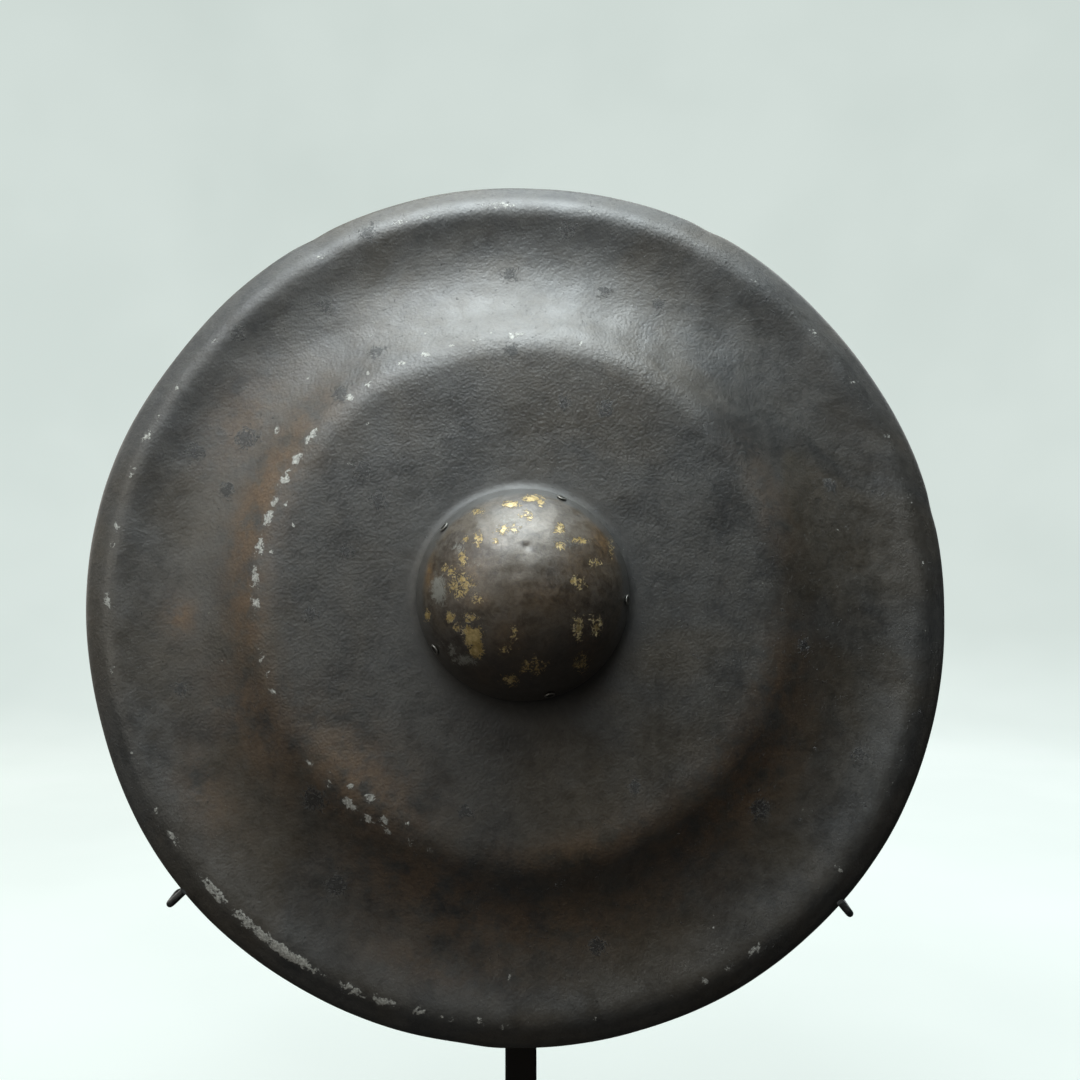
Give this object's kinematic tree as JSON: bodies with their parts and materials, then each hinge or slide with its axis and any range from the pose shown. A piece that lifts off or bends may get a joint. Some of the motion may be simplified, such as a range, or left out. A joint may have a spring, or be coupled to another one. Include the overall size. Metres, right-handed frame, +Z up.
{
  "type": "bossed gong on stand",
  "caption": "Bossed gong with a turned-back rim and a riveted boss cap, leaning back in wire hooks on a black post stand with a flat base.",
  "frame": {"origin": "middle of the felt underside that rests on the table", "axes": "+Z up, the gong's struck face looks towards -Y, +X is on the right of someone facing the gong"},
  "size_m": [0.4994, 0.1991, 0.602],
  "materials": {
    "iron_patina": "satin hammered iron with a dark brown and grey patina",
    "boss_brass": "darkened brass, worn through to bright patches",
    "rivet_iron": "dark iron with worn edges",
    "black_steel": "satin black powder coat",
    "rod_steel": "thin dark grey paint, cut end bare",
    "fastener_steel": "black oxide",
    "cap_plastic": "moulded black plastic",
    "bumper_rubber": "matt black rubber",
    "felt": "pressed dark felt"
  },
  "bodies": {
    "stand": {"base_felt": "felt", "base_plate": "black_steel", "foot_screw": "fastener_steel", "hook_bar": "black_steel", "hook_bar_bolt_lower": "fastener_steel", "hook_bar_bolt_upper": "fastener_steel", "hook_bar_nut_lower": "fastener_steel", "hook_bar_nut_upper": "fastener_steel", "hook_bar_washer_lower": "fastener_steel", "hook_bar_washer_upper": "fastener_steel", "hook_nut_left_front": "fastener_steel", "hook_nut_left_rear": "fastener_steel", "hook_nut_right_front": "fastener_steel", "hook_nut_right_rear": "fastener_steel", "hook_rod_left": "rod_steel", "hook_rod_right": "rod_steel", "post": "black_steel", "post_foot_plug": "black_steel", "post_top_cap": "cap_plastic", "rest_bar": "black_steel", "rest_bar_bolt": "fastener_steel", "rest_bar_nut": "fastener_steel", "rest_bar_washer": "fastener_steel", "rest_bumper_left": "bumper_rubber", "rest_bumper_right": "bumper_rubber"},
    "gong": {"boss_cap": "boss_brass", "boss_rivet_1": "rivet_iron", "boss_rivet_2": "rivet_iron", "boss_rivet_3": "rivet_iron", "boss_rivet_4": "rivet_iron", "boss_rivet_5": "rivet_iron", "gong_plate": "iron_patina"}
  },
  "joints": [
    {"name": "gong_lift", "type": "slide", "parent": "stand", "child": "gong", "axis": [0, 0.1132, 0.9936], "range_m": [0, 0.12]}
  ]
}
